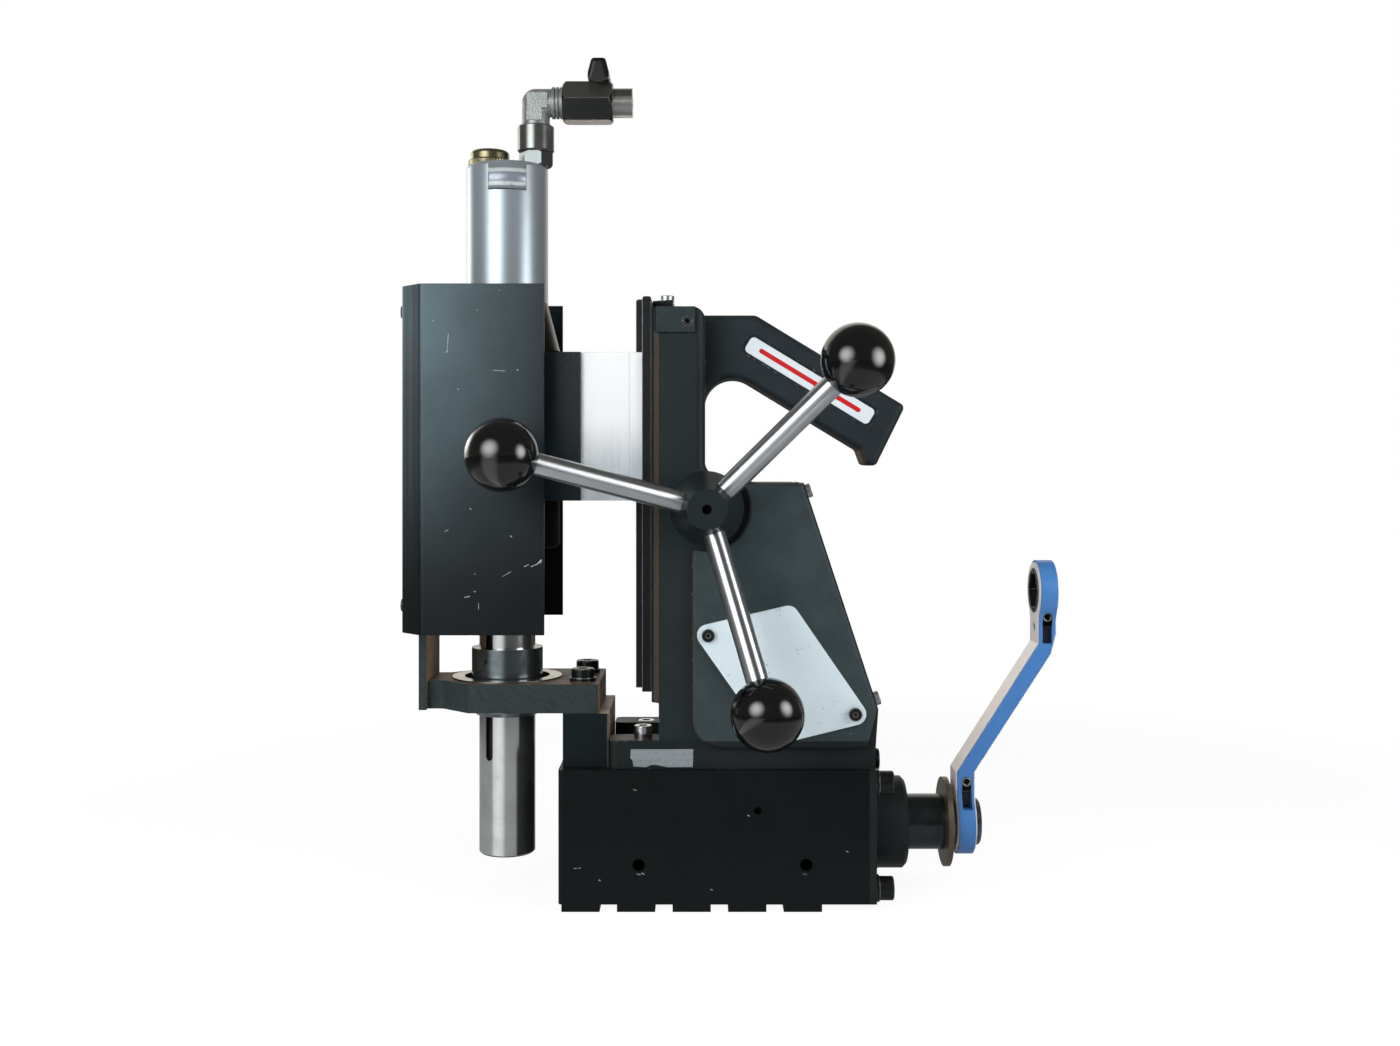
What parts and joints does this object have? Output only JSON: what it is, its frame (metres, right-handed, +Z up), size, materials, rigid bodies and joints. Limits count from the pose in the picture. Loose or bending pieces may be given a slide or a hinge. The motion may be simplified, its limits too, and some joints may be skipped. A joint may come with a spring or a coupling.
{
  "type": "magnetic drill",
  "caption": "Air-driven magnetic drill: switchable magnet base, cast frame with carrying handle, rack-fed motor slide, guard, capstan feed wheel and ratchet spanner",
  "frame": {"origin": "centre of the middle pole foot, on the work surface that the magnet holds", "axes": "+Z up along the spindle and feed, -X towards the drilling end, +X towards the spanner, -Y the capstan side"},
  "size_m": [0.3667, 0.1729, 0.473],
  "materials": {
    "black_steel": "satin black",
    "casting": "painted, orange peel",
    "guard_paint": "dark slate satin",
    "steel": "machined",
    "aluminium": "machined",
    "brass": "plain",
    "magnet": "ground",
    "spanner_blue": "blue",
    "black_plastic": "glossy",
    "hub_black": "black",
    "chrome": "bright"
  },
  "bodies": {
    "base": {"pole_capstan_side": "black_steel", "pole_far_side": "black_steel", "pole_spacers": "brass", "side_plug": "black_steel", "rear_bearing_housing": "black_steel", "bronze_bushes": "brass", "washer_screws": "black_steel", "riser_block": "casting", "support_bracket": "casting", "steady_bearing_outer": "steel", "guard": "guard_paint", "button_screws": "black_steel", "frame_casting": "casting", "foot_screws": "black_steel", "rear_cover": "casting", "rear_cover_screws": "steel", "blanking_plate": "aluminium", "gib_strip": "brass", "gib_screws": "black_steel"},
    "rotor": {"rotor_shaft": "steel", "rotor_core": "steel", "rotor_magnets": "magnet", "drive_washer": "steel", "lower_ratchet_ring": "steel", "shaft_end_cap": "black_steel"},
    "spanner": {"spanner_body": "spanner_blue", "spanner_face_plates": "steel"},
    "lower_selector": {"lower_selector": "steel"},
    "upper_selector": {"upper_selector": "steel"},
    "upper_ring": {"upper_ratchet_ring": "steel"},
    "carriage": {"slide_plate": "steel", "rack": "steel", "adapter_plate": "aluminium", "spacer_block": "aluminium", "mount_block": "guard_paint", "carriage_screws": "black_steel", "gearbox_housing": "aluminium", "ring_gear": "steel", "spindle_bearing_outers": "steel", "motor_body": "aluminium", "motor_end_plate": "aluminium", "silencer": "brass", "inlet_nipple": "steel", "inlet_socket": "steel", "inlet_elbow": "brass", "valve_body": "brass"},
    "valve": {"valve_handle": "black_plastic", "valve_ball": "steel"},
    "spindle": {"spindle": "steel", "spindle_bearing_inners": "steel", "cutter_screws": "steel"},
    "planet_a": {"planet_1": "steel"},
    "planet_b": {"planet_2": "steel"},
    "planet_c": {"planet_3": "steel"},
    "motor_rotor": {"motor_rotor": "steel"},
    "collar": {"drive_collar": "steel"},
    "capstan": {"capstan_hub": "hub_black", "pinion_shaft": "steel", "capstan_rods": "chrome", "capstan_knobs": "black_plastic"}
  },
  "joints": [
    {"name": "feed", "type": "slide", "parent": "base", "child": "carriage", "axis": [0, 0, 1], "range_m": [-0.018, 0.032]},
    {"name": "capstan_turn", "type": "hinge", "parent": "base", "child": "capstan", "pos_m": [0.0081, 0, 0.2198], "axis": [0, 1, 0], "range_deg": [-90, 160]},
    {"name": "spindle_spin", "type": "hinge", "parent": "carriage", "child": "spindle", "pos_m": [-0.1055, 0, 0.1], "axis": [0, 0, 1], "continuous": true},
    {"name": "motor_spin", "type": "hinge", "parent": "carriage", "child": "motor_rotor", "pos_m": [-0.1055, 0, 0.35], "axis": [0, 0, 1], "continuous": true},
    {"name": "collar_spin", "type": "hinge", "parent": "base", "child": "collar", "pos_m": [-0.1055, 0, 0.12], "axis": [0, 0, 1], "continuous": true},
    {"name": "valve_turn", "type": "hinge", "parent": "carriage", "child": "valve", "pos_m": [-0.0528, 0, 0.45], "axis": [0, 0, 1], "range_deg": [0, 90]},
    {"name": "magnet_switch", "type": "hinge", "parent": "base", "child": "rotor", "pos_m": [0, 0, 0.0395], "axis": [1, 0, 0], "range_deg": [0, 180]},
    {"name": "spanner_swing", "type": "hinge", "parent": "base", "child": "spanner", "pos_m": [0.15, 0, 0.0395], "axis": [1, 0, 0], "range_deg": [-100, 100]},
    {"name": "lower_selector_slide", "type": "slide", "parent": "spanner", "child": "lower_selector", "axis": [0, 0, 1], "range_m": [-0.0085, 0]},
    {"name": "upper_selector_slide", "type": "slide", "parent": "spanner", "child": "upper_selector", "axis": [0, 0, 1], "range_m": [-0.0085, 0]},
    {"name": "upper_ring_spin", "type": "hinge", "parent": "spanner", "child": "upper_ring", "pos_m": [0.2, 0, 0.1715], "axis": [1, 0, 0], "continuous": true},
    {"name": "planet_a_spin", "type": "hinge", "parent": "spindle", "child": "planet_a", "pos_m": [-0.0893, 0, 0.255], "axis": [0, 0, 1], "continuous": true},
    {"name": "planet_b_spin", "type": "hinge", "parent": "spindle", "child": "planet_b", "pos_m": [-0.1136, 0.01403, 0.255], "axis": [0, 0, 1], "continuous": true},
    {"name": "planet_c_spin", "type": "hinge", "parent": "spindle", "child": "planet_c", "pos_m": [-0.1136, -0.01403, 0.255], "axis": [0, 0, 1], "continuous": true}
  ],
  "couplings": [
    {"joint": "capstan_turn", "follows": "feed", "rad_per_m": 83.333},
    {"joint": "motor_spin", "follows": "spindle_spin", "ratio": 4},
    {"joint": "collar_spin", "follows": "spindle_spin", "ratio": 1},
    {"joint": "planet_a_spin", "follows": "spindle_spin", "ratio": -3},
    {"joint": "planet_b_spin", "follows": "spindle_spin", "ratio": -3},
    {"joint": "planet_c_spin", "follows": "spindle_spin", "ratio": -3}
  ]
}
